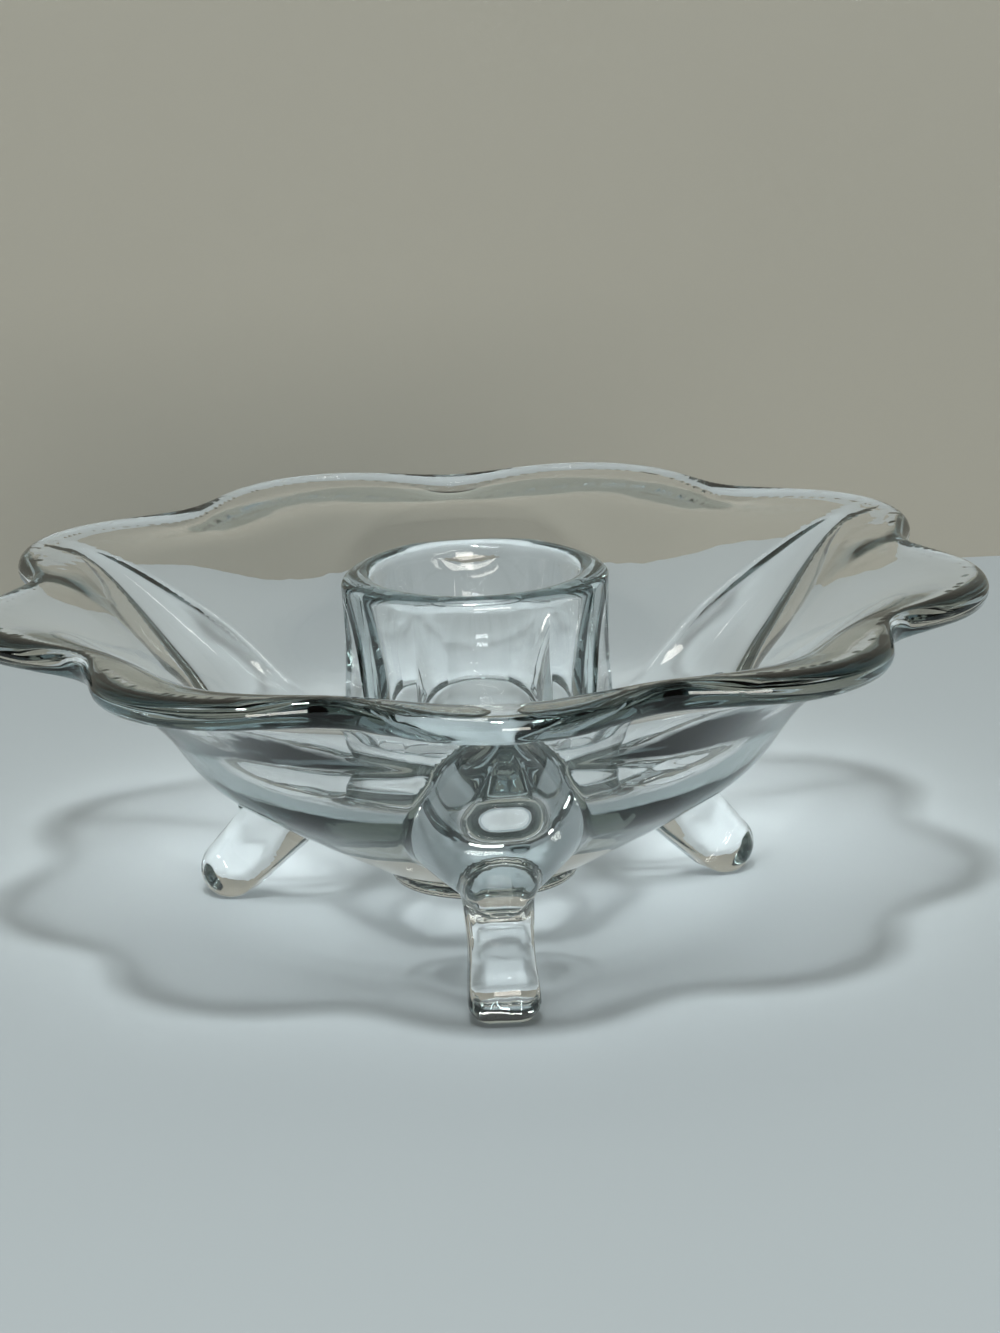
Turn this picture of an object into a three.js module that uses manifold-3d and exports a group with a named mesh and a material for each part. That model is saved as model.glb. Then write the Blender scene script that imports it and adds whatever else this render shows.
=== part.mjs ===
// Footed candle dish in clear pressed glass: a low nine-lobed bowl on three legs, with a taper socket
// standing in the middle. Millimetres, +Z up, table at z = 0, first leg towards -Y.
import * as THREE from 'three';
import { mergeVertices } from 'three/addons/utils/BufferGeometryUtils.js';
import Module from 'manifold-3d';

const wasm = await Module();
wasm.setup();

// Three legs, each under the middle one of its own three lobes
const legNames = ['front', 'right', 'left'];
const lobesPerLeg = 3;
const lobeCount = lobesPerLeg * legNames.length;

// Bowl, measured on the middle line of a lobe
const lobeRadius = 55.3;
const notchRadius = 47.5;
const notchFillet = 4;
const rimHeight = 39.6;
const rimThickness = 3.2;
const rimTilt = 16;
const flareRadius = 47;
const flareHeight = 34.4;
const waistRadius = 36;
const waistHeight = 26.8;
const bellyRadius = 29;
const bellyHeight = 18.6;
const underRadius = 12.5;
const underHeight = 8.5;
const wallThickness = 4;
const scallopStart = 34;

// Candle socket
const lipHeight = 40.5;
const lipRadius = 14.6;
const lipRound = 1.6;
const mouthRound = 0.8;
const socketBaseRadius = 15.4;
const socketBaseFlare = 1;
const socketFlareHeight = 2;
const boreRadius = 11.25;
const boreFloorRadius = 8.5;
const boreDepth = 16.4;
const boreFillet = 1.2;
const panelCount = 6;
const panelDistance = 13.2;
const panelTopGap = 2.2;
const panelArch = 2.4;
const floorMargin = 1;

// Pad under the middle of the bowl
const padRadius = 10.3;
const padHeight = 2.6;
const padRound = 1.2;

// Legs: a rounded knee that ends short of the lobes, and a foot with a straight shin and a round toe
const ankleRadius = 29.4;
const ankleHeight = 11;
const kneeTipGap = 4.3;
const kneeTipRadius = lobeRadius - kneeTipGap;
const kneeHalfWidth = 8;
const kneeFlankPower = 2.6;
const kneeSkew = 0.6;
const kneeFullness = 0.7;
const footHalfWidth = 3.75;
const footWaist = 1.1;
const footProud = 0.6;
const footArchHeight = 18.2;
const shinHeight = 11.6;
const toeRadius = 31.7;
const toeRound = 3.4;
const soleWidth = 1.8;
const heelRadius = 22;
const heelHeight = 8;
const footEdge = 1.6;

// Narrow line left where one moulded element is cut by another
const weldGap = 0.3;

// Facets
const lobeSteps = 8;
const wallSteps = 9;
const rimSteps = 5;
const socketSteps = 48;
const padSteps = 36;
const panelSteps = 4;
const kneeLevels = 13;
const flankSteps = 4;
const footSteps = 7;
const roundSteps = 4;
const edgeSteps = 2;

// How far a cutter runs past what it cuts, and how close two corners are when they are one
const overrun = 1;
const mergeDistance = 1e-4;

const degrees = THREE.MathUtils.degToRad;
const point = (radius, height) => new THREE.Vector2(radius, height);

// A geometry with shared corners merged and flat slivers dropped, as a solid for cutting
function solid(geometry) {
  const bare = geometry.clone();
  bare.deleteAttribute('normal');
  bare.deleteAttribute('uv');
  const merged = mergeVertices(bare, mergeDistance);
  const index = merged.index.array;
  const corners = [];
  for (let i = 0; i < index.length; i += 3) {
    const [a, b, c] = [index[i], index[i + 1], index[i + 2]];
    if (a !== b && b !== c && c !== a) corners.push(a, b, c);
  }
  return new wasm.Manifold(new wasm.Mesh({
    numProp: 3,
    vertProperties: new Float32Array(merged.attributes.position.array),
    triVerts: new Uint32Array(corners),
  }));
}

function geometryOf(body) {
  const mesh = body.getMesh();
  const geometry = new THREE.BufferGeometry();
  geometry.setAttribute('position', new THREE.Float32BufferAttribute(mesh.vertProperties, 3));
  geometry.setIndex(new THREE.Uint32BufferAttribute(mesh.triVerts, 1));
  geometry.computeVertexNormals();
  return geometry;
}

// Turns a profile of (radius, height) points round the Z axis
function revolve(profile, steps) {
  return new THREE.LatheGeometry(profile, steps).rotateX(Math.PI / 2);
}

function arc(centreRadius, centreHeight, radius, fromDegrees, toDegrees, steps) {
  const points = [];
  for (let i = 0; i <= steps; i += 1) {
    const angle = degrees(fromDegrees + ((toDegrees - fromDegrees) * i) / steps);
    points.push(point(centreRadius + radius * Math.cos(angle), centreHeight + radius * Math.sin(angle)));
  }
  return points;
}

// Where a polyline, followed along one axis, crosses a value: gives the other coordinate there
function crossing(points, along, across, value) {
  for (let i = 1; i < points.length; i += 1) {
    const [a, b] = [points[i - 1], points[i]];
    const span = b[along] - a[along];
    const share = (value - a[along]) / span;
    if (span !== 0 && share >= 0 && share <= 1) return a[across] + (b[across] - a[across]) * share;
  }
  const last = points[points.length - 1];
  return last[across];
}

// Rim edge: a round nose whose middle lies half a thickness in from the lobe
const noseCentre = point(lobeRadius - rimThickness / 2, rimHeight - rimThickness / 2);
const rimNose = arc(noseCentre.x, noseCentre.y, rimThickness / 2, rimTilt - 90, rimTilt + 90, rimSteps);

// Outside of the wall, from the flat underside out to the rim
const outerCurve = new THREE.SplineCurve([
  point(underRadius, underHeight),
  point(bellyRadius, bellyHeight),
  point(waistRadius, waistHeight),
  point(flareRadius, flareHeight),
  rimNose[0],
]);

function outerWall(offset) {
  const points = [];
  for (let i = 0; i <= wallSteps; i += 1) {
    const share = i / wallSteps;
    const tangent = outerCurve.getTangent(share);
    points.push(outerCurve.getPoint(share).add(point(tangent.y, -tangent.x).multiplyScalar(offset)));
  }
  return points;
}

// Inside of the wall, from the rim down to the floor, a wall's thickness from the outside
function innerWall() {
  const points = [];
  for (let i = wallSteps - 1; i >= 0; i -= 1) {
    const share = i / wallSteps;
    const tangent = outerCurve.getTangent(share);
    const thickness = THREE.MathUtils.lerp(wallThickness, rimThickness, share);
    points.push(outerCurve.getPoint(share).add(point(-tangent.y, tangent.x).multiplyScalar(thickness)));
  }
  return points;
}

const floorRadius = socketBaseRadius + socketBaseFlare + floorMargin;
const floorHeight = crossing(innerWall(), 'x', 'y', floorRadius);

// Plan outline of the rim: arcs of neighbouring lobes, with the notch between them rounded
function lobeOutline(angle) {
  const pitch = (2 * Math.PI) / lobeCount;
  const sharpNotch = notchRadius - notchFillet / 4;
  const half = Math.cos(pitch / 2);
  const centre = (lobeRadius ** 2 - sharpNotch ** 2) / (2 * (lobeRadius - sharpNotch * half));
  const lobe = lobeRadius - centre;
  const fromMiddle = angle - Math.round(angle / pitch) * pitch;
  const reach = (turn) => {
    const side = centre * Math.sin(turn);
    return centre * Math.cos(turn) + Math.sqrt(Math.max(lobe ** 2 - side ** 2, 0));
  };
  const own = reach(fromMiddle);
  const next = reach(pitch - Math.abs(fromMiddle));
  const near = Math.max(notchFillet - Math.abs(own - next), 0) / notchFillet;
  return Math.max(own, next) + (near * near * notchFillet) / 4;
}

// Draws the round bowl in between the lobes, from nothing low on the wall to the full notch at the rim
function scallop(geometry) {
  const place = geometry.attributes.position;
  for (let i = 0; i < place.count; i += 1) {
    const [x, y] = [place.getX(i), place.getY(i)];
    const radius = Math.hypot(x, y);
    const drawn = 1 - lobeOutline(Math.atan2(y, x)) / lobeRadius;
    const scale = 1 - drawn * THREE.MathUtils.smoothstep(radius, scallopStart, lobeRadius);
    place.setXYZ(i, x * scale, y * scale, place.getZ(i));
  }
  return geometry;
}

function bowlSolid() {
  const inner = innerWall().filter((p) => p.x > floorRadius);
  const profile = [
    point(0, underHeight),
    ...outerWall(0),
    ...rimNose.slice(1),
    ...inner,
    point(floorRadius, floorHeight),
    point(0, floorHeight),
  ];
  return solid(scallop(revolve(profile, lobeCount * lobeSteps)));
}

// Everything above the outside of the wall, grown by the weld line, for cutting the legs to the bowl
function bowlCutter() {
  const wall = outerWall(weldGap);
  const profile = [
    point(0, underHeight - weldGap),
    ...wall,
    point(lobeRadius + rimThickness, rimHeight),
    point(0, rimHeight),
  ];
  return solid(scallop(revolve(profile, lobeCount * lobeSteps)));
}

// Upright blade with a flat inner face and an arched top, for cutting one panel of the socket
function panelCutter() {
  const halfWidth = socketBaseRadius;
  const top = lipHeight - panelTopGap;
  const face = new THREE.Shape();
  face.moveTo(-halfWidth, floorHeight - overrun);
  face.lineTo(halfWidth, floorHeight - overrun);
  const halfPanel = panelDistance * Math.tan(Math.PI / panelCount);
  face.lineTo(halfWidth, top - panelArch * (halfWidth / halfPanel) ** 2);
  for (let i = panelSteps; i >= -panelSteps; i -= 1) {
    const across = (halfPanel * i) / panelSteps;
    face.lineTo(across, top - panelArch * (across / halfPanel) ** 2);
  }
  face.lineTo(-halfWidth, top - panelArch * (halfWidth / halfPanel) ** 2);
  const blade = new THREE.ExtrudeGeometry(face, { depth: socketBaseRadius, bevelEnabled: false });
  blade.rotateX(Math.PI / 2).rotateZ(Math.PI / 2);
  return blade.translate(panelDistance, 0, 0);
}

function socketSolid() {
  const boreFloor = lipHeight - boreDepth;
  const shoulder = lipHeight - panelTopGap;
  const profile = [
    point(0, floorHeight),
    point(socketBaseRadius + socketBaseFlare, floorHeight),
    point(socketBaseRadius, floorHeight + socketFlareHeight),
    point(lipRadius, shoulder),
    ...arc(lipRadius - lipRound, lipHeight - lipRound, lipRound, 0, 90, roundSteps),
    ...arc(boreRadius + mouthRound, lipHeight - mouthRound, mouthRound, 90, 180, roundSteps),
    point(boreFloorRadius + boreFillet / 2, boreFloor + boreFillet),
    point(boreFloorRadius - boreFillet / 2, boreFloor),
    point(0, boreFloor),
  ];
  let body = solid(revolve(profile, socketSteps));
  for (let i = 0; i < panelCount; i += 1) {
    const turn = (2 * Math.PI * i) / panelCount;
    body = body.subtract(solid(panelCutter().rotateZ(turn)));
  }
  return body;
}

function padSolid() {
  const profile = [
    point(0, underHeight - padHeight),
    ...arc(padRadius - padRound, underHeight - padHeight + padRound, padRound, -90, 0, roundSteps),
    point(padRadius, underHeight),
    point(0, underHeight),
  ];
  return solid(revolve(profile, padSteps));
}

// Middle line of a leg's outside, straight from the ankle up to the underside of the rim
const kneeTipHeight = crossing(outerWall(0), 'x', 'y', kneeTipRadius);
function ridgeRadius(height) {
  const share = (height - ankleHeight) / (kneeTipHeight - ankleHeight);
  return THREE.MathUtils.lerp(ankleRadius, kneeTipRadius, share);
}

// Joins level outlines with as many points each in to one closed skin
function loft(levels) {
  const count = levels[0].length;
  const corners = levels.flat();
  const faces = [];
  for (let k = 0; k + 1 < levels.length; k += 1) {
    for (let i = 0; i < count; i += 1) {
      const j = (i + 1) % count;
      const [a, b] = [k * count + i, k * count + j];
      faces.push(a, b, b + count, a, b + count, a + count);
    }
  }
  const last = (levels.length - 1) * count;
  for (let i = 1; i + 1 < count; i += 1) {
    faces.push(0, i + 1, i, last, last + i, last + i + 1);
  }
  const geometry = new THREE.BufferGeometry();
  const values = corners.flatMap((p) => p.toArray());
  geometry.setAttribute('position', new THREE.Float32BufferAttribute(values, 3));
  geometry.setIndex(faces);
  return geometry;
}

// Leaf-shaped knee: level slices whose flanks fall from the ridge back to the wall
function kneeBlank() {
  const wall = outerWall(0);
  const levels = [];
  for (let k = 1; k <= kneeLevels; k += 1) {
    const share = (k - 0.5) / kneeLevels;
    const height = THREE.MathUtils.lerp(ankleHeight, kneeTipHeight, share);
    const halfWidth = kneeHalfWidth * Math.sin(Math.PI * share ** kneeSkew) ** kneeFullness;
    const edge = crossing(wall, 'y', 'x', height) - weldGap;
    const ridge = ridgeRadius(height);
    const back = edge - wallThickness;
    const outline = [new THREE.Vector3(back, -halfWidth, height)];
    for (let i = -flankSteps; i <= flankSteps; i += 1) {
      const across = i / flankSteps;
      const proud = (ridge - edge) * (1 - Math.abs(across) ** kneeFlankPower);
      outline.push(new THREE.Vector3(edge + proud, across * halfWidth, height));
    }
    outline.push(new THREE.Vector3(back, halfWidth, height));
    levels.push(outline);
  }
  return solid(loft(levels));
}

// Foot seen from the side: flat sole, round toe, straight shin, then up along the ridge in to the knee
function footSide(extra) {
  const side = new THREE.Shape();
  const proud = footProud + extra;
  const round = toeRound + extra;
  const shin = point(ridgeRadius(shinHeight) + proud, shinHeight);
  const toShin = shin.clone().sub(point(toeRadius, toeRound));
  const leaves = toShin.angle() - Math.acos(round / toShin.length());
  const crown = ridgeRadius(footArchHeight) + proud;
  const root = crossing(outerWall(0), 'y', 'x', ankleHeight);
  side.moveTo(toeRadius - soleWidth, 0);
  for (const p of arc(toeRadius, toeRound, round, -90, THREE.MathUtils.radToDeg(leaves), roundSteps)) {
    side.lineTo(p.x, p.y);
  }
  side.lineTo(shin.x, shin.y);
  side.lineTo(crown, footArchHeight + extra);
  side.lineTo(root, footArchHeight + extra);
  side.lineTo(root, ankleHeight);
  side.lineTo(heelRadius, heelHeight);
  const half = footHalfWidth + extra;
  const slab = new THREE.ExtrudeGeometry(side, {
    depth: 2 * (half - footEdge),
    bevelEnabled: true,
    bevelThickness: footEdge,
    bevelSize: footEdge,
    bevelOffset: -footEdge,
    bevelSegments: edgeSteps,
    curveSegments: footSteps,
  });
  return slab.rotateX(Math.PI / 2).translate(0, half - footEdge, 0);
}

// Foot seen from the front: arched top, drawn-in waist, wider toe
function footFront(extra) {
  const half = footHalfWidth + extra;
  const waist = half - footWaist;
  const spring = footArchHeight + extra - half;
  const face = new THREE.Shape();
  face.moveTo(-half, -overrun);
  face.lineTo(half, -overrun);
  face.quadraticCurveTo(waist, ankleHeight, half, spring);
  face.absarc(0, spring, half, 0, Math.PI, false);
  face.quadraticCurveTo(-waist, ankleHeight, -half, -overrun);
  const bar = new THREE.ExtrudeGeometry(face, {
    depth: kneeTipRadius,
    bevelEnabled: false,
    curveSegments: footSteps,
  });
  return bar.rotateX(Math.PI / 2).rotateZ(Math.PI / 2);
}

function footBlank(extra) {
  return solid(footSide(extra)).intersect(solid(footFront(extra)));
}

const outsideOfBowl = bowlCutter();
const kneeBody = kneeBlank().subtract(outsideOfBowl).subtract(footBlank(weldGap));
const footBody = footBlank(0).subtract(outsideOfBowl);

// Clear glass with the faint grey-green of a thick pressing
function glass() {
  return new THREE.MeshStandardMaterial({
    color: 0xdfe6e2, roughness: 0.05, metalness: 0, transparent: true, opacity: 0.45,
  });
}

function piece(name, body) {
  const mesh = new THREE.Mesh(geometryOf(body), glass());
  mesh.name = name;
  return mesh;
}

const dish = new THREE.Group();
dish.add(piece('bowl', bowlSolid()));
dish.add(piece('candle_socket', socketSolid()));
dish.add(piece('base_pad', padSolid()));
legNames.forEach((name, i) => {
  const leg = new THREE.Group();
  leg.add(piece(`knee_${name}`, kneeBody));
  leg.add(piece(`foot_${name}`, footBody));
  leg.rotation.z = (2 * Math.PI * i) / legNames.length;
  dish.add(leg);
});
dish.rotation.z = -Math.PI / 2;

export default dish;
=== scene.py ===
# %% [markdown]
# # A footed candle dish in clear pressed glass
#
# The dish is one pressing: a low bowl with nine lobes, a socket for a taper candle in the middle, a round
# pad below it and three legs. Glass hides nothing, so every surface shows, the far ones through the near
# ones. That is why the whole shape is made here as one smooth body of formulas, and cut into its named
# pieces only at the end.

# %% Load the measured frame
import math

import bpy
import numpy as np
from mathutils import Matrix, Vector


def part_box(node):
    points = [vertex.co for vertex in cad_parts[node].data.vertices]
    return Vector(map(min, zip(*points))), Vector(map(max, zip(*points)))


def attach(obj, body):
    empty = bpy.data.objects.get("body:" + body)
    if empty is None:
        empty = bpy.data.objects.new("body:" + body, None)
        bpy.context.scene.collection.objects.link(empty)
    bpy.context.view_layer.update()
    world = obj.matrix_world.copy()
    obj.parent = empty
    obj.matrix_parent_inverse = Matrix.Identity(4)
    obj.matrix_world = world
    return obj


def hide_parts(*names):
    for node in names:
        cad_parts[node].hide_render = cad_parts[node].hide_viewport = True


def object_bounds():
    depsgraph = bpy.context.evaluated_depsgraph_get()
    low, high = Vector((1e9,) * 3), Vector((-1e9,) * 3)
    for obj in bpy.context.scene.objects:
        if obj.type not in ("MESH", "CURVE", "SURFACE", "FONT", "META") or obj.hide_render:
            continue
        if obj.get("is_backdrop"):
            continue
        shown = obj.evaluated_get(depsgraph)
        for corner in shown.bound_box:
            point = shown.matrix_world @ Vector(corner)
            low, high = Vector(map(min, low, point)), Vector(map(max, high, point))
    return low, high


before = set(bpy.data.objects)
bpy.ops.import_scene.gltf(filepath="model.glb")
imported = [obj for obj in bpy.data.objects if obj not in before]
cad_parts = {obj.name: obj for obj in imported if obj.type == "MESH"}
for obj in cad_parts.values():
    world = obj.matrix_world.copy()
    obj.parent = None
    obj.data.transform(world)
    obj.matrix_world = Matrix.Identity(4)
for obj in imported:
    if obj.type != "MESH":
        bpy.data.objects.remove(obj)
cad_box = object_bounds()
MM = 0.001
print("nodes:", sorted(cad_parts))

# %% [markdown]
# ## The camera
#
# The camera comes first, because all looks are judged through it. It was fitted to the rim's lobes, the
# socket and the toes: a long lens about half a metre away, looking down by some 15 degrees, held slightly
# askew. The dish sits a little left of the picture's middle, so the camera aims a little to its right.

# %% Camera
PICTURE = (1000, 1333)
FOCAL_PIXELS = 4812
AIM_HEIGHT = 30 * MM
AIM_PIXEL = (478.0, 660.6)
DISTANCE = 520.4 * MM
LOOK_DOWN = math.radians(15.51)
WALK_ROUND = math.radians(2.77)
ROLL = math.radians(1.98)
SENSOR = 36.0


def look_from(down, round_left):
    """Unit vectors of a level camera that looks at the dish: right, up and forward."""
    forward = Vector((
        math.cos(down) * math.sin(round_left),
        math.cos(down) * math.cos(round_left),
        -math.sin(down),
    ))
    right = forward.cross(Vector((0, 0, 1))).normalized()
    return right, right.cross(forward), forward


right, up, forward = look_from(LOOK_DOWN, WALK_ROUND)
picture_right = right * math.cos(ROLL) - up * math.sin(ROLL)
picture_up = right * math.sin(ROLL) + up * math.cos(ROLL)
place = Vector((0, 0, AIM_HEIGHT)) - forward * DISTANCE
aside = (PICTURE[0] / 2 - AIM_PIXEL[0]) / FOCAL_PIXELS
below = (PICTURE[1] / 2 - AIM_PIXEL[1]) / FOCAL_PIXELS
axis = (forward + picture_right * aside - picture_up * below).normalized()
side = axis.cross(picture_up).normalized()
turned = Matrix((side, side.cross(axis), -axis)).transposed()
lens = bpy.data.cameras.new("camera")
lens.sensor_fit = "VERTICAL"
lens.sensor_height = SENSOR
lens.lens = SENSOR * FOCAL_PIXELS / PICTURE[1]
camera = bpy.data.objects.new("camera", lens)
camera.matrix_world = Matrix.Translation(place) @ turned.to_4x4()
bpy.context.scene.collection.objects.link(camera)
bpy.context.scene.camera = camera
print("camera at", [round(v, 4) for v in place], "lens", round(lens.lens, 1), "mm")

# %% [markdown]
# ## Sizes
#
# Everything is measured in millimetres, out from the middle and up from the table. What the frame holds is
# read from it. The rest follows the wall's line: a flat underside, a round belly, a waist and a flare that
# ends in a round nose.

# %% Sizes from the frame
bowl_low, bowl_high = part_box("bowl")
socket_low, socket_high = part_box("candle_socket")
pad_low, pad_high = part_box("base_pad")
lobe_radius = -bowl_low[1] / MM
rim_height = bowl_high[2] / MM
under_height = bowl_low[2] / MM
lip_height = socket_high[2] / MM
floor_height = socket_low[2] / MM
pad_under = pad_low[2] / MM
pad_radius = pad_high[0] / MM
print("lobe", round(lobe_radius, 2), "rim", round(rim_height, 2), "lip", round(lip_height, 2))
print("floor", round(floor_height, 2), "pad", round(pad_radius, 2), "at", round(pad_under, 2))

# %% [markdown]
# ## Forms as formulas
#
# A form can be a formula that is negative inside the glass, zero on its skin and positive outside, and
# grows with the distance. Two such forms join by taking the lesser value, and overlap by taking the
# greater. A smooth version of both leaves a fillet where they meet, as hot glass does in a mould. A mesh
# could be modelled and joined by booleans instead, but then every joint would be a hard crease, and a
# crease in clear glass shows from all sides.

# %% Joining forms


def smooth_min(a, b, fillet):
    """The join of two forms, with a fillet of about this radius."""
    near = np.maximum(fillet - np.abs(a - b), 0) / fillet
    return np.minimum(a, b) - near * near * fillet / 4


def smooth_max(a, b, fillet):
    """The overlap of two forms, with a round edge of about this radius."""
    return -smooth_min(-a, -b, fillet)


def ease(share):
    """Runs softly from 0 to 1."""
    share = np.clip(share, 0, 1)
    return share * share * (3 - 2 * share)


def fold(angle, count):
    """The angle from the middle of the nearest of so many equal sectors. The first faces the front."""
    sector = 2 * np.pi / count
    turn = angle + np.pi / 2
    return turn - np.round(turn / sector) * sector


print("fold a quarter turn in three:", round(math.degrees(fold(0.0, 3)), 1), "degrees")

# %% [markdown]
# ## The bowl's wall
#
# The wall is one line turned round the middle: the outside as a smooth curve through five points, the
# inside a wall's thickness away. Both are kept as tables of height against radius, so that a point
# anywhere finds its distance from the two skins. The rim closes them with a half circle.

# %% Line of the wall
WALL = 4.0
RIM = 3.2
RIM_DROP = 3.2
WALL_LINE = [
    (12.5, under_height),
    (29.0, 18.6),
    (36.0, 26.8),
    (47.0, 34.4),
    (53.9, rim_height - RIM_DROP),
]
LINE_STEPS = 400
CORNER_SOFTENING = 1.2
TABLE_STEP = 0.02
TABLE_REACH = 60
radii = np.arange(0, TABLE_REACH, TABLE_STEP)


def through(points, steps):
    """A smooth line through the points."""
    p = np.array([points[0], *points, points[-1]], float)
    t = np.linspace(0, 1, steps, endpoint=False)[:, None]
    line = []
    for a, b, c, d in zip(p, p[1:], p[2:], p[3:]):
        curved = (2 * a - 5 * b + 4 * c - d) * t**2 + (3 * b - a - 3 * c + d) * t**3
        line.append((2 * b + (c - a) * t + curved) / 2)
    return np.vstack([*line, p[-1:]])


def softened(heights, width):
    """The same line with its corners rounded over this width."""
    count = 2 * int(width / TABLE_STEP) + 1
    padded = np.pad(heights, count // 2, mode="edge")
    return np.convolve(padded, np.ones(count) / count, mode="valid")


def height_table(line, way, least):
    """Height of a line over every radius, carried on straight past its end."""
    end = line[-1]
    heights = np.interp(radii, line[:, 0], line[:, 1])
    past = end[1] + (radii - end[0]) * way[1] / way[0]
    return softened(np.maximum(np.where(radii > end[0], past, heights), least), CORNER_SOFTENING)


outside = through(WALL_LINE, LINE_STEPS)
along = np.gradient(outside, axis=0)
along /= np.hypot(along[:, 0], along[:, 1])[:, None]
inward = np.stack([-along[:, 1], along[:, 0]], 1)
inside = outside + inward * np.linspace(WALL, RIM, len(outside))[:, None]
rim_way = along[-1]
nose = (outside[-1] + inside[-1]) / 2
under_line = height_table(outside, rim_way, under_height)
over_line = height_table(inside, rim_way, floor_height)
under_square = 1 / np.hypot(1, np.gradient(under_line, TABLE_STEP))
over_square = 1 / np.hypot(1, np.gradient(over_line, TABLE_STEP))
rim_lean = math.degrees(math.atan2(*rim_way[::-1]))
print("nose of the rim at", np.round(nose, 2), "leaning", round(rim_lean, 1), "degrees")

# %% [markdown]
# ## Nine lobes
#
# Seen from above, the rim is nine round arcs with a rounded notch between neighbours. The notches are
# crisp and deepest at the rim, turn to soft creases just below it and fade out down the wall. So the
# radius of a point is stretched back to that of a plain round bowl before the wall's tables are read: by
# the crisp outline at the rim, and by an averaged one lower down. Nine arcs could be lofted down to a
# circle instead, but a loft kinks where two arcs meet, and in clear glass each kink would show as a black
# mark.

# %% Outline of the lobes
LOBES = 9
LOBE_STEPS = 1500
NOTCH_RADIUS = 47.5
NOTCH_FILLET = 7.0
NOTCH_SOFTENING = 0.08
CREASE_SOFTENING = 0.5

lobe_pitch = 2 * np.pi / LOBES
half_lobe = np.linspace(0, lobe_pitch / 2, LOBE_STEPS)
sharp_notch = NOTCH_RADIUS - NOTCH_FILLET / 4
lobe_middle = lobe_radius**2 - sharp_notch**2
lobe_middle /= 2 * (lobe_radius - sharp_notch * math.cos(lobe_pitch / 2))
lobe_arc = lobe_radius - lobe_middle


def lobe_reach(angle):
    """How far one lobe's arc lies from the middle of the dish."""
    return lobe_middle * np.cos(angle) + np.sqrt(lobe_arc**2 - (lobe_middle * np.sin(angle)) ** 2)


def averaged(line, share):
    """A line over half a lobe, smoothed twice over this share of it."""
    reach_over = int(share * len(line))
    window = np.ones(2 * reach_over + 1) / (2 * reach_over + 1)
    for again in range(2):
        line = np.convolve(np.pad(line, reach_over, mode="reflect"), window, mode="valid")
    return line


beside = np.minimum(lobe_pitch - half_lobe, np.arcsin(min(lobe_arc / lobe_middle, 1)))
rim_outline = smooth_max(lobe_reach(half_lobe), lobe_reach(beside), NOTCH_FILLET)
sharp_square = 1 / np.hypot(1, np.gradient(rim_outline, half_lobe) / rim_outline)
rim_square = averaged(sharp_square, NOTCH_SOFTENING)
wall_outline = averaged(rim_outline, CREASE_SOFTENING)
wall_square = averaged(sharp_square, CREASE_SOFTENING)
print("lobes of radius", round(float(lobe_arc), 2), "notch at", round(float(rim_outline[-1]), 2))

# %% Lobed bowl
SCALLOP_START = 34.0
CRISP_POWER = 6


def bowl(reach, angle, height):
    """The lobed wall with its floor and rim."""
    at = np.abs(fold(angle, LOBES))
    edge = np.interp(at, half_lobe, wall_outline)
    square = np.interp(at, half_lobe, wall_square)
    near_rim = np.clip((reach - SCALLOP_START) / (edge - SCALLOP_START), 0, 1) ** CRISP_POWER
    edge = edge + (np.interp(at, half_lobe, rim_outline) - edge) * near_rim
    square = square + (np.interp(at, half_lobe, rim_square) - square) * near_rim
    drawn = ease((reach - SCALLOP_START) / (edge - SCALLOP_START))
    from_edge = (edge - reach) * square
    radius = reach + (lobe_radius - from_edge - reach) * drawn
    under = (np.interp(radius, radii, under_line) - height) * np.interp(radius, radii, under_square)
    over = (height - np.interp(radius, radii, over_line)) * np.interp(radius, radii, over_square)
    out, up_from = radius - nose[0], height - nose[1]
    rim = np.hypot(out, up_from) - RIM / 2
    return np.where(out * rim_way[0] + up_from * rim_way[1] > 0, rim, np.maximum(under, over))


print("creases start", SCALLOP_START, "mm from the middle")

# %% [markdown]
# ## Candle socket and pad
#
# The socket is a stout tube with six shallow panels, one of which faces the front. Each panel ends in a
# low arch just under the round lip, and its edges are soft. The bore narrows downwards, so that a candle
# wedges in it. The pad is a shallow disc below the floor. A tube could be turned and then cut flat six
# times, but the cuts would leave sharp lines, so each panel is an overlap with a wide round edge.

# %% Socket and pad
LIP_RADIUS = 14.6
LIP_ROUND = 1.9
MOUTH_ROUND = 1.4
SOCKET_BASE = 16.5
BORE_MOUTH = 11.25
BORE_FOOT = 8.9
BORE_FLOOR = 24.1
BORE_FILLET = 1.2
PANELS = 6
PANEL_DISTANCE = 13.7
PANEL_TOP = lip_height - 2.2
PANEL_ARCH = 2.4
ARCH_SLOPE = 0.8
PANEL_EDGE = 4.5
PANEL_SHOULDER = 6.0
PAD_ROUND = 1.2
SUNK = 3.0

panel_half = PANEL_DISTANCE * math.tan(math.pi / PANELS)


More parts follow.
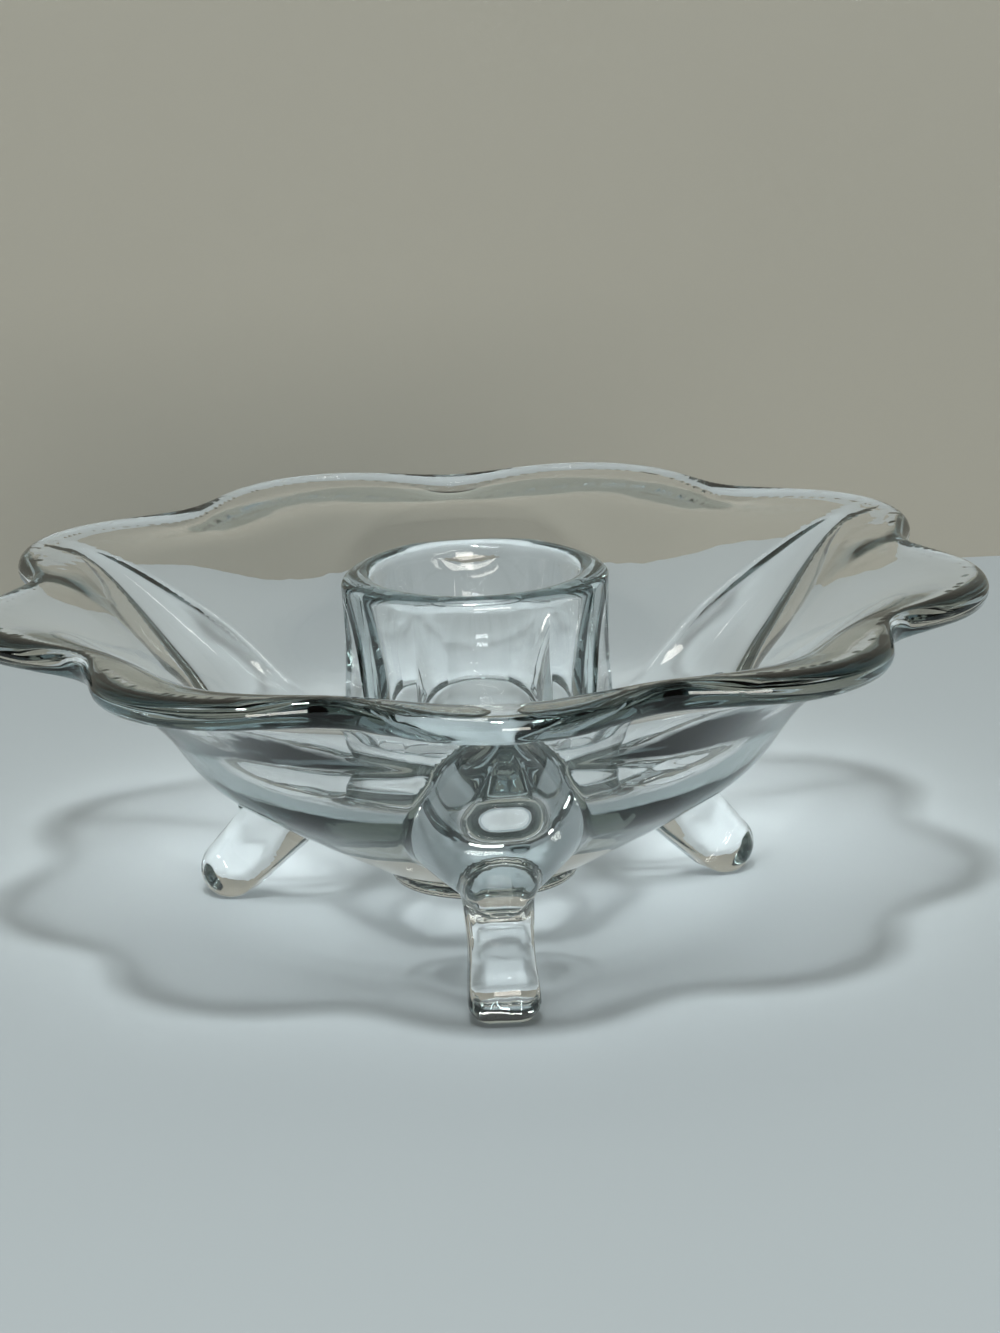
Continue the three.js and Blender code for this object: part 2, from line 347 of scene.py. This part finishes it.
def candle_socket(reach, angle, height):
    """A panelled tube, standing on the floor of the bowl."""
    at = fold(angle, PANELS)
    out, across = reach * np.cos(at), reach * np.sin(at)
    climb = np.clip((height - floor_height) / (PANEL_TOP - floor_height), 0, 1)
    tube = reach - (SOCKET_BASE + (LIP_RADIUS - SOCKET_BASE) * climb)
    arch = PANEL_TOP - PANEL_ARCH * (across / panel_half) ** 2
    panel = smooth_min(out - PANEL_DISTANCE, (arch - height) * ARCH_SLOPE, PANEL_SHOULDER)
    body = smooth_max(tube, panel, PANEL_EDGE)
    body = smooth_max(body, height - lip_height, LIP_ROUND)
    body = np.maximum(body, floor_height - SUNK - height)
    open_up = np.clip((height - BORE_FLOOR) / (lip_height - BORE_FLOOR), 0, 1)
    bore = reach - (BORE_FOOT + (BORE_MOUTH - BORE_FOOT) * open_up)
    return smooth_max(body, -smooth_max(bore, BORE_FLOOR - height, BORE_FILLET), MOUTH_ROUND)


def base_pad(reach, height):
    """A disc that runs up into the floor."""
    disc = smooth_max(reach - pad_radius, pad_under - height, PAD_ROUND)
    return np.maximum(disc, height - under_height - SUNK)


print("panel", round(2 * panel_half, 2), "mm wide")

# %% [markdown]
# ## Knees
#
# A leg starts under the rim as a knee: a rounded leaf that lies along the wall and is widest a third of
# the way up. The line along its front, the keel, runs straight down to the ankle, and the flanks fall away
# from it. It could be a flattened ball, but that would meet the wall at a ledge, while the leaf's height
# shrinks to nothing at its edges. It is written for one leg that points outwards, and folded round into
# three.

# %% Knee
LEGS = 3
ANKLE = (29.4, 11.0)
KNEE_TIP = 51.0
KNEE_HALF = 8.0
KNEE_SKEW = 0.6
KNEE_FULLNESS = 0.7
KNEE_FLANK = 2.6
KNEE_SPARE = 1.0
KEEL_ROUND = 0.35
KEEL_LEAN_SQUARED = 0.7
LEAF_END = 0.002
LEAST_RISE = 0.1

knee_top = float(np.interp(KNEE_TIP, radii, under_line))
rising = radii > WALL_LINE[0][0]


def keel(height):
    """Radius of the line along the front of a leg."""
    return ANKLE[0] + (KNEE_TIP - ANKLE[0]) * (height - ANKLE[1]) / (knee_top - ANKLE[1])


def knee(out, across, height, below):
    """A leaf on the outside of the wall, with flanks that fall away from its keel."""
    share = np.clip((height - ANKLE[1]) / (knee_top - ANKLE[1]), LEAF_END, 1 - LEAF_END)
    half = KNEE_HALF * np.sin(np.pi * share**KNEE_SKEW) ** KNEE_FULLNESS + KEEL_ROUND
    wall = np.interp(height, under_line[rising], radii[rising])
    rise = np.maximum(keel(height) - wall, LEAST_RISE)
    aside = np.hypot(across, KEEL_ROUND) - KEEL_ROUND
    steep = rise * KNEE_FLANK / half
    skin = out - wall - rise * (1 - (aside / half) ** KNEE_FLANK)
    skin = skin / np.sqrt(1 + KEEL_LEAN_SQUARED + steep**2)
    ends = np.maximum(ANKLE[1] - height, height - knee_top)
    return np.maximum(np.maximum(skin, aside - KNEE_HALF - KNEE_SPARE), np.maximum(ends, below))


print("keel from", ANKLE, "to", (KNEE_TIP, round(knee_top, 2)))

# %% [markdown]
# ## Feet
#
# The foot is a square peg with bevelled edges. It grows out of the knee with an arched top, narrows at the
# waist and ends in a round toe that turns outwards. Its outline from the side and its outline from the
# front are two forms, and their overlap is the peg. A box could be bent and bevelled instead, but the
# overlap needs only the two outlines that can be seen.

# %% Foot
FOOT_HALF = 3.95
FOOT_WAIST = 0.5
WAIST_HEIGHT = 7.0
WAIST_REACH = 4.0
FOOT_PROUD = 1.3
KEEL_SQUARE = 0.76
ANKLE_LAP = 1.0
ANKLE_FILLET = 3.0
FOOT_TOP = 19.2
FOOT_BEVEL = 1.5
BEVEL_FADE = 6.0
LEAST_BEVEL = 0.2
FOOT_EDGE = 0.6
SOLE_EDGE = 0.3
TOE = (31.5, 3.3)
SHIN = (21.0, 15.0)
HEEL = (20.3, 13.3)
TOE_ROUND = 3.4


def from_line(x, y, a, b):
    """Distance from a straight stretch."""
    way = (b[0] - a[0], b[1] - a[1])
    share = ((x - a[0]) * way[0] + (y - a[1]) * way[1]) / (way[0] ** 2 + way[1] ** 2)
    share = np.clip(share, 0, 1)
    return np.hypot(x - a[0] - way[0] * share, y - a[1] - way[1] * share)


def triangle(x, y, *corners):
    """Distance from a triangle whose corners run anticlockwise, negative inside it."""
    near, left = [], []
    for a, b in zip(corners, corners[1:] + corners[:1]):
        near.append(from_line(x, y, a, b))
        left.append((b[0] - a[0]) * (y - a[1]) - (b[1] - a[1]) * (x - a[0]))
    nearest = np.minimum.reduce(near)
    return np.where(np.minimum.reduce(left) >= 0, -nearest, nearest)


def foot(out, across, height, below):
    """A bevelled peg with an arched top and a turned-out toe."""
    lower = triangle(out, height, TOE, SHIN, HEEL) - TOE_ROUND
    upper = np.maximum((out - keel(height) - FOOT_PROUD) * KEEL_SQUARE, ANKLE[1] + ANKLE_LAP - height)
    seen_aside = smooth_min(lower, upper, ANKLE_FILLET)
    half = FOOT_HALF - FOOT_WAIST * np.exp(-(((height - WAIST_HEIGHT) / WAIST_REACH) ** 2))
    spring = FOOT_TOP - FOOT_HALF
    top = np.hypot(across, height - spring) - FOOT_HALF
    seen_ahead = np.where(height > spring, top, np.abs(across) - half)
    width = FOOT_BEVEL * np.clip((FOOT_TOP - height) / BEVEL_FADE, LEAST_BEVEL, 1)
    bevel = (seen_aside + seen_ahead + width) / math.sqrt(2)
    peg = smooth_max(smooth_max(seen_aside, seen_ahead, FOOT_EDGE), bevel, FOOT_EDGE)
    return np.maximum(smooth_max(peg, -height, SOLE_EDGE), below)


print("foot", 2 * FOOT_HALF, "mm wide, toe", TOE[0] + TOE_ROUND, "mm out")

# %% [markdown]
# ## One body of glass
#
# The five forms are joined with the fillets that such a pressing has: wide round the socket, narrow at the
# legs.

# %% Whole body
FILLETS = {"candle_socket": 2.2, "base_pad": 1.0, "knee": 0.8, "foot": 0.5}
INSIDE_WALL = np.array([[40.0], [0.0], [31.0]])


def forms(points):
    """Every form's value at the points, by the name of its piece, without the leg's side."""
    x, y, height = points
    reach, angle = np.hypot(x, y), np.arctan2(y, x)
    at = fold(angle, LEGS)
    out, across = reach * np.cos(at), reach * np.sin(at)
    middle = np.interp(reach, radii, (under_line + over_line) / 2)
    below = (height - middle) * np.interp(reach, radii, under_square)
    return {
        "bowl": bowl(reach, angle, height),
        "candle_socket": candle_socket(reach, angle, height),
        "base_pad": base_pad(reach, height),
        "knee": knee(out, across, height, below),
        "foot": foot(out, across, height, below),
    }


def glass_body(points):
    """The whole pressing as one form."""
    values = forms(points)
    body = values["bowl"]
    for name, fillet in FILLETS.items():
        body = smooth_min(body, values[name], fillet)
    return body


print("in the wall:", round(float(glass_body(INSIDE_WALL)[0]), 2))

# %% [markdown]
# ## From formula to mesh
#
# The body is sampled on a grid of cubes. Each cube that the skin passes through gets one corner of the
# mesh, and each grid edge that it crosses gets one face. Blender could mesh a volume instead, but that
# would cut off the round edges a little, and would not know which way the true skin faces.

# %% Skin in a grid
CUBE = 0.55
MARGIN = 3 * CUBE


def sampled():
    """The body's values on a grid, with the grid's lowest corner."""
    low = np.array((-lobe_radius, -lobe_radius, 0.0)) - MARGIN
    high = np.array((lobe_radius, lobe_radius, max(rim_height, lip_height))) + MARGIN
    xs, ys, zs = (np.arange(a, b, CUBE) for a, b in zip(low, high))
    x, y = np.meshgrid(xs, ys, indexing="ij")
    layers = [glass_body((x, y, np.full_like(x, z))) for z in zs]
    return np.stack(layers, 2), low


def skin_of(values):
    """Corners, in cubes, and four-sided faces of the skin in a grid of values."""
    cubes = np.array(values.shape) - 1
    total = np.zeros((4, int(np.prod(cubes))))
    faces = []
    for axis in range(3):
        u, v = (axis + 1) % 3, (axis + 2) % 3
        low = np.take(values, range(values.shape[axis] - 1), axis)
        high = np.take(values, range(1, values.shape[axis]), axis)
        at = np.argwhere((low < 0) != (high < 0))
        a, b = low[tuple(at.T)], high[tuple(at.T)]
        crossing = at.astype(float)
        crossing[:, axis] += a / (a - b)
        ring = []
        for step_u, step_v in ((-1, -1), (0, -1), (0, 0), (-1, 0)):
            cube = at.copy()
            cube[:, u] += step_u
            cube[:, v] += step_v
            ring.append(np.ravel_multi_index(cube.T, cubes))
        for ids in ring:
            for k in range(3):
                total[k] += np.bincount(ids, crossing[:, k], total.shape[1])
            total[3] += np.bincount(ids, minlength=total.shape[1])
        face = np.stack(ring, 1)
        faces.append(np.where((a < 0)[:, None], face, face[:, ::-1]))
    used, index = np.unique(np.vstack(faces), return_inverse=True)
    return (total[:3, used] / total[3, used]).T, index.reshape(-1, 4)


values, corner = sampled()
cells, faces = skin_of(values)
points = cells * CUBE + corner
print(len(points), "corners,", len(faces), "faces")

# %% [markdown]
# ## On to the true skin
#
# The corners are now walked on to the true skin along the form's slope. That slope is also the exact
# direction of the surface, and goes into the mesh as its normal, so that refraction stays as smooth as the
# formula is. How sharply the skin bends is kept as well, because rims and edges throw the darkest shadow.

# %% Corners, normals and bends
WALKS = 3
SLOPE_STEP = 0.12
LEAST_SLOPE = 0.2
BEND_STEP = 0.4
GENTLE = 0.12
SHARP = 0.45
NEARLY_ALL = 99.9


def slope(points):
    """The form's slope at each point, which stands square on the skin."""
    ways = []
    for step in SLOPE_STEP * np.eye(3):
        ways.append((glass_body((points + step).T) - glass_body((points - step).T)) / (2 * SLOPE_STEP))
    return np.stack(ways, 1)


def bend_of(points):
    """How sharply the skin bends at each point, from 0 where it is gentle to 1."""
    steps = BEND_STEP * np.eye(3)
    around = sum(glass_body((points + sign * step).T) for step in steps for sign in (-1, 1))
    bend = np.abs(around - 2 * len(steps) * glass_body(points.T)) / BEND_STEP**2
    return ease((bend - GENTLE) / (SHARP - GENTLE))


for walk in range(WALKS):
    way = slope(points)
    steep = np.maximum((way * way).sum(1), LEAST_SLOPE)
    points = points - (glass_body(points.T) / steep)[:, None] * way
normals = slope(points)
normals /= np.linalg.norm(normals, axis=1)[:, None]
bends = bend_of(points)
off_skin = float(np.percentile(np.abs(glass_body(points.T)), NEARLY_ALL))
print("off the skin by at most", round(off_skin, 4), "mm")

# %% [markdown]
# ## Shader maths
#
# Materials are written as sums on sockets. A small class wraps an output socket, and each operator adds
# the Math node that does it. One method makes any other node.

# %% Sockets that can be reckoned with


class Wire:
    """An output socket of a node tree."""

    def __init__(self, tree, socket=None):
        self.tree = tree
        self.socket = socket

    def node(self, kind, inputs=None, settings=None, output=0):
        """Adds a node, with its settings made first, and gives one of its outputs."""
        made = self.tree.nodes.new(kind)
        for name, value in (settings or {}).items():
            setattr(made, name, value)
        for name, value in (inputs or {}).items():
            if isinstance(value, Wire):
                self.tree.links.new(value.socket, made.inputs[name])
            else:
                made.inputs[name].default_value = value
        return Wire(self.tree, made.outputs[output])

    def math(self, operation, first, second):
        """Adds a Math node."""
        return self.node("ShaderNodeMath", {0: first, 1: second}, {"operation": operation})

    def __add__(self, other):
        return self.math("ADD", self, other)

    __radd__ = __add__

    def __mul__(self, other):
        return self.math("MULTIPLY", self, other)

    __rmul__ = __mul__

    def __sub__(self, other):
        return self.math("SUBTRACT", self, other)

    def __rsub__(self, other):
        return self.math("SUBTRACT", other, self)

    def __pow__(self, other):
        return self.math("POWER", self, other)


def new_material(name):
    """An empty material, and a wire that starts nodes in it."""
    material = bpy.data.materials.new(name)
    material.use_nodes = True
    material.node_tree.nodes.clear()
    return material, Wire(material.node_tree)


def blended(start, share, first, second):
    """A colour that runs from the first to the second."""
    sockets = {"Factor": share, "A": first, "B": second}
    return start.node("ShaderNodeMix", sockets, {"data_type": "RGBA"}, output=2)


def finish_material(start, shader, share=None, other=None):
    """Links a shader to the material's surface, with a share of another one."""
    if other is not None:
        shader = start.node("ShaderNodeMixShader", {0: share, 1: shader, 2: other})
    output = start.tree.nodes.new("ShaderNodeOutputMaterial")
    start.tree.links.new(shader.socket, output.inputs["Surface"])


print("wire ready")

# %% [markdown]
# ## Glass
#
# Pressed glass is clear with a faint grey-green. Its skin is fire-polished but keeps soft ripples from the
# cold mould and finer chill marks on the feet, and handling leaves a thin film in places.
#
# Light that meets the skin at a slant from inside is thrown back, and each time the real glass takes a
# little of it, so that thick round parts such as the rim look grey. A volume that swallows light could do
# that, but needs one closed body, and this one is cut into pieces. So what is thrown back is tinted
# instead.
#
# A share of the lamps' light goes straight through each skin to the table: least where the skin is met
# edge-on or bends sharply, which draws the dark ring in the shadow. The rest is traced through the glass
# and gathers in bright patches inside that ring.

# %% Clear glass
IOR = 1.5
CLEAR = (0.99, 0.997, 0.997, 1.0)
THROWN_BACK = (0.66, 0.71, 0.715, 1.0)
RIPPLE = {"Scale": 160.0, "Detail": 2.0}
CHILL = {"Scale": 420.0, "Detail": 1.0}
CHILL_SHARE = 2.0
CHILL_TOP = 20 * MM
BUMP = {"Strength": 0.05, "Distance": 0.6 * MM}
FILM = {"Scale": 45.0, "Detail": 3.0}
FILM_ROUGHNESS = 0.015
STRAIGHT = 0.68
EDGE_POWER = 5.0
BEND_SHADE = 0.95


def clear_glass():
    """Clear glass with a mould's ripples, grey where light is thrown back in it."""
    material, start = new_material("clear_glass")
    where = start.node("ShaderNodeTexCoord", output=3)
    ripple = start.node("ShaderNodeTexNoise", {"Vector": where, **RIPPLE})
    film = start.node("ShaderNodeTexNoise", {"Vector": where, **FILM})
    chill = start.node("ShaderNodeTexNoise", {"Vector": where, **CHILL})
    level = start.node("ShaderNodeSeparateXYZ", {"Vector": where}, output="Z")
    at_feet = start.node("ShaderNodeMapRange", {"Value": level, "From Min": CHILL_TOP, "From Max": 0.0})
    relief = start.node("ShaderNodeBump", {"Height": ripple + CHILL_SHARE * chill * at_feet, **BUMP})
    from_inside = start.node("ShaderNodeNewGeometry", output="Backfacing")
    mirror = start.node("ShaderNodeFresnel", {"IOR": IOR, "Normal": relief})
    thrown_back = from_inside * mirror * mirror
    shader = start.node("ShaderNodeBsdfPrincipled", {
        "Base Color": blended(start, thrown_back, CLEAR, THROWN_BACK),
        "Metallic": thrown_back,
        "Roughness": film * FILM_ROUGHNESS,
        "IOR": IOR,
        "Transmission Weight": 1.0,
        "Normal": relief,
    })
    from_lamp = start.node("ShaderNodeLightPath", output="Is Shadow Ray")
    edge_on = start.node("ShaderNodeLayerWeight", {"Blend": 0.5}, output="Facing")
    bend = start.node("ShaderNodeAttribute", settings={"attribute_name": "bend"}, output="Fac")
    passes = from_lamp * (1 - edge_on**EDGE_POWER) * STRAIGHT * (1 - BEND_SHADE * bend)
    finish_material(start, shader, passes, start.node("ShaderNodeBsdfTransparent"))
    return material


def weld():
    """Where two pieces are one glass there is no surface to see."""
    material, start = new_material("weld")
    finish_material(start, start.node("ShaderNodeBsdfTransparent"))
    return material


glass_material = clear_glass()
weld_material = weld()
print("materials:", glass_material.name, weld_material.name)

# %% [markdown]
# ## Pieces
#
# The skin is shared out among the named pieces: each face goes to the form that lies nearest. A piece is
# closed where it was cut from its neighbour, with a face that has no surface in the picture. Each piece
# could be meshed by itself, but then two skins would lie inside the glass at every joint and would mirror
# the room.

# %% Share the skin out
LEG_NAMES = {-90: "front", 30: "right", 150: "left"}


def piece_names(points):
    """The name of the piece that each point belongs to."""
    values = forms(points.T)
    kinds = np.array(list(values))
    nearest = kinds[np.argmin(np.stack(list(values.values())), 0)]
    turn = np.degrees(np.arctan2(points[:, 1], points[:, 0]))
    legs = np.array(list(LEG_NAMES))
    apart = np.abs((turn[:, None] - legs + 180) % 360 - 180)
    side = np.array(list(LEG_NAMES.values()))[np.argmin(apart, 1)]
    is_leg = (nearest == "knee") | (nearest == "foot")
    return np.where(is_leg, np.char.add(np.char.add(nearest, "_"), side), nearest)


def open_rings(quads):
    """Rings of open edges of some faces, none of which visits a corner twice."""
    ahead = np.stack([quads, np.roll(quads, -1, 1)], 2).reshape(-1, 2)
    size = quads.max() + 1
    back = ahead[:, 1] * size + ahead[:, 0]
    loose = ahead[~np.isin(ahead[:, 0] * size + ahead[:, 1], back)]
    after = {}
    for a, b in loose.tolist():
        after.setdefault(a, []).append(b)
    while after:
        here = next(iter(after))
        ring = []
        while here in after:
            there = after[here].pop()
            if not after[here]:
                del after[here]
            ring.append((here, there))
            starts = [a for a, b in ring]
            if there in starts:
                yield ring[starts.index(there):]
                del ring[starts.index(there):]
            here = there


names = piece_names(points[faces].mean(1))
print(len(np.unique(names)), "pieces")

# %% Make the pieces


def make_piece(name, own_faces):
    """A closed mesh object of some of the skin's faces."""
    used, index = np.unique(own_faces, return_inverse=True)
    quads = index.reshape(-1, 4)
    corners, ways, bent = points[used], normals[used], bends[used]
    fans = []
    for ring in open_rings(quads):
        middle = corners[[a for a, b in ring]].mean(0)
        fans += [(b, a, len(corners)) for a, b in ring]
        corners = np.vstack([corners, middle])
        ways = np.vstack([ways, (0, 0, 1)])
        bent = np.append(bent, 0)
    mesh = bpy.data.meshes.new(name)
    mesh.from_pydata((corners * MM).tolist(), [], quads.tolist() + fans)
    mesh.materials.append(glass_material)
    mesh.materials.append(weld_material)
    mesh.polygons.foreach_set("use_smooth", [True] * len(mesh.polygons))
    mesh.polygons.foreach_set("material_index", [0] * len(quads) + [1] * len(fans))
    mesh.update()
    mesh.attributes.new("bend", "FLOAT", "POINT").data.foreach_set("value", bent)
    mesh.normals_split_custom_set_from_vertices(ways.tolist())
    made = bpy.data.objects.new(name + "_glass", mesh)
    bpy.context.scene.collection.objects.link(made)
    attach(made, "root")
    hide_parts(name)
    return made


for name in np.unique(names):
    piece = make_piece(str(name), faces[names == name])
    print(piece.name, len(piece.data.polygons), "faces")

# %% [markdown]
# ## Table and wall
#
# The dish stands on a pale table, close to a plain warm grey wall. Clear glass is seen by what lies around
# it, so both show in it. Each is a sheet that has only one face: from behind or from below it isn't there,
# so that the dish can be looked at from every side. A room with four walls would shut those views out.

# %% Stage
WALL_BEHIND = 150 * MM
STAGE_HALF = 2.0
TABLE_COLOUR = (0.455, 0.5, 0.52, 1.0)
WALL_COLOUR = (0.35, 0.335, 0.285, 1.0)
MOTTLE = {"Scale": 9.0, "Detail": 4.0}
MOTTLE_SHADE = 0.95
MATT = 0.9


def plain(name, colour):
    """A matt, faintly mottled colour that is seen from the front only."""
    material, start = new_material(name)
    where = start.node("ShaderNodeTexCoord", output=3)
    mottle = start.node("ShaderNodeTexNoise", {"Vector": where, **MOTTLE})
    darker = tuple(MOTTLE_SHADE * c for c in colour[:3]) + (1.0,)
    cover = start.node("ShaderNodeBsdfPrincipled", {
        "Base Color": blended(start, mottle, colour, darker),
        "Roughness": MATT,
    })
    from_behind = start.node("ShaderNodeNewGeometry", output="Backfacing")
    finish_material(start, cover, from_behind, start.node("ShaderNodeBsdfTransparent"))
    return material


def sheet(name, corners, colour):
    """A flat stage piece with four corners."""
    mesh = bpy.data.meshes.new(name)
    mesh.from_pydata(corners, [], [(0, 1, 2, 3)])
    mesh.materials.append(plain(name, colour))
    made = bpy.data.objects.new(name, mesh)
    bpy.context.scene.collection.objects.link(made)
    made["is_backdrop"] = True


w, d = STAGE_HALF, WALL_BEHIND
sheet("table", [(-w, -w, 0), (w, -w, 0), (w, w, 0), (-w, w, 0)], TABLE_COLOUR)
sheet("wall", [(-w, d, 0), (w, d, 0), (w, d, w), (-w, d, w)], WALL_COLOUR)
print("table and wall,", 2 * STAGE_HALF, "m wide")

# %% [markdown]
# ## Light
#
# A small lamp stands high in front of the dish and throws its shadow. A wide window far behind the camera
# adds the soft highlights, and the rest of the room is nearly dark, which gives the rim its dark line. A
# bright dome all round would be simpler, but the glass would turn as pale as the dome. Light meets many
# skins before it leaves the glass, so it may bounce more often than in a scene of solid things.

# %% Lamps, room and bounces
ROOM_COLOUR = (1.0, 0.95, 0.86, 1.0)
ROOM_STRENGTH = 0.06


def lamp(name, place, size, power, colour):
    """A square-cornered area lamp that faces the middle of the dish."""
    light = bpy.data.lights.new(name, "AREA")
    light.shape = "RECTANGLE"
    light.size, light.size_y = size
    light.energy = power
    light.color = colour
    made = bpy.data.objects.new(name, light)
    made.location = place
    made.rotation_euler = (-Vector(place)).to_track_quat("-Z", "Y").to_euler()
    bpy.context.scene.collection.objects.link(made)


lamp("lamp", place=(-0.05, -0.6, 1.1), size=(0.12, 0.12), power=12.5, colour=(0.94, 0.99, 1.0))
lamp("window", place=(0.3, -2.0, 0.3), size=(0.7, 0.6), power=14.0, colour=(1.0, 0.97, 0.9))

world = bpy.data.worlds.new("room")
world.use_nodes = True
background = world.node_tree.nodes["Background"]
background.inputs["Color"].default_value = ROOM_COLOUR
background.inputs["Strength"].default_value = ROOM_STRENGTH
scene = bpy.context.scene
scene.world = world
scene.view_settings.view_transform = "Standard"
scene.cycles.max_bounces = 24
scene.cycles.glossy_bounces = 8
scene.cycles.transmission_bounces = 20
scene.cycles.transparent_max_bounces = 24
print("lit by", [light.name for light in bpy.data.lights])

# %% [markdown]
# ## Sizes, and the end
#
# The picture's model should be as large as the measured one, so both boxes are set side by side at the
# end.

# %% Both boxes side by side, and the end
boxes = {"cad": cad_box, "visual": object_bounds()}
{name: [list(map(float, c)) for c in box] for name, box in boxes.items()}
